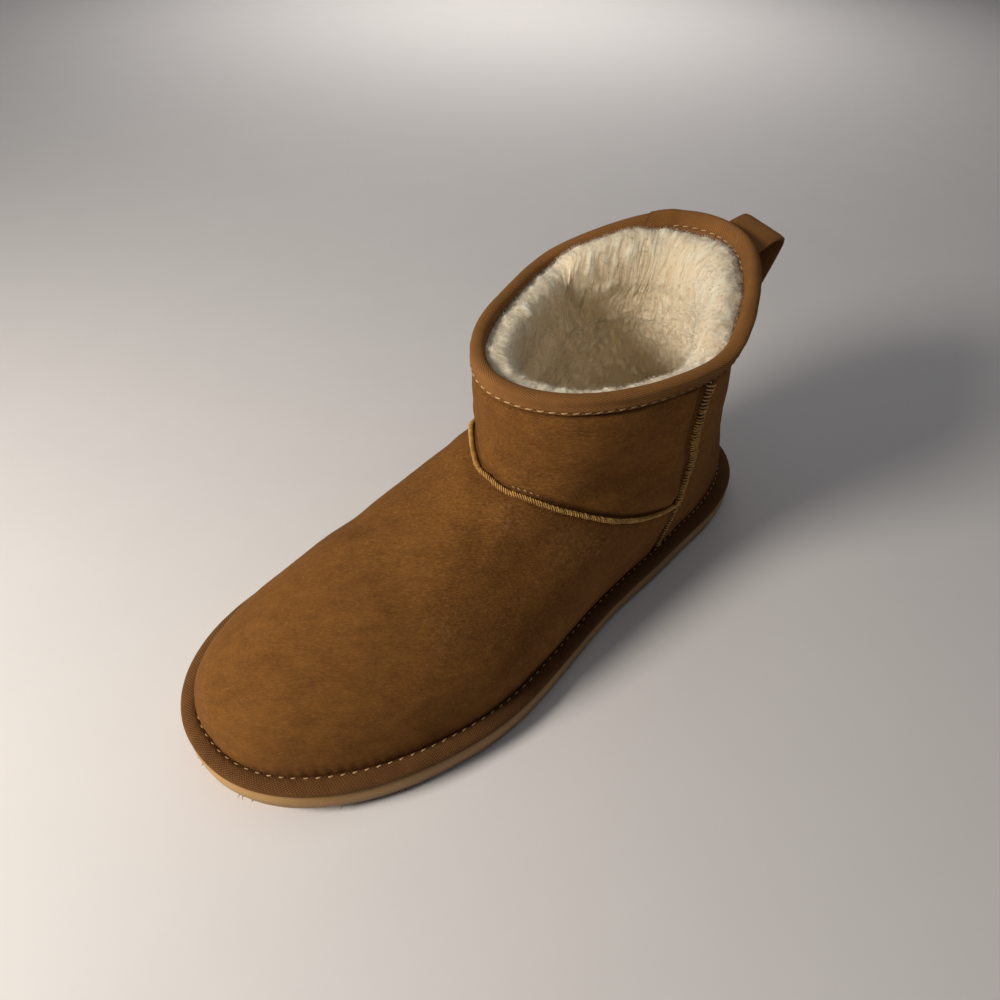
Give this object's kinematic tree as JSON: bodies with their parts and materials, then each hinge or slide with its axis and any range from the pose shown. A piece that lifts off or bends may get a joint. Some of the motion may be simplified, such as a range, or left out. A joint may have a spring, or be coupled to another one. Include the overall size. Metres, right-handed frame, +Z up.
{
  "type": "sheepskin slipper boot",
  "caption": "Ankle-high sheepskin slipper boot for the left foot: suede upper with fleece inside, bound collar, heel pull loop, welt tape and flat gum outsole.",
  "frame": {"origin": "middle of the outsole's outline on the floor", "axes": "+X towards the toe, +Y towards the outer side of the left foot, +Z up"},
  "size_m": [0.2792, 0.1118, 0.1288],
  "materials": {
    "suede": "brushed chestnut suede, matt, with a short soft nap",
    "fleece": "dense cream sheep's fleece, short and clumped",
    "twill": "brown twill tape with a fine diagonal rib",
    "gum_rubber": "tan gum, smooth and slightly satin",
    "thread": "golden tan sewing thread"
  },
  "bodies": {
    "root": {"outsole": "gum_rubber", "welt_tape": "twill", "upper": "suede", "insole": "fleece", "collar_binding": "twill", "pull_loop": "twill", "side_seam_outer": "thread", "side_seam_inner": "thread", "vamp_seam": "thread"}
  },
  "joints": []
}
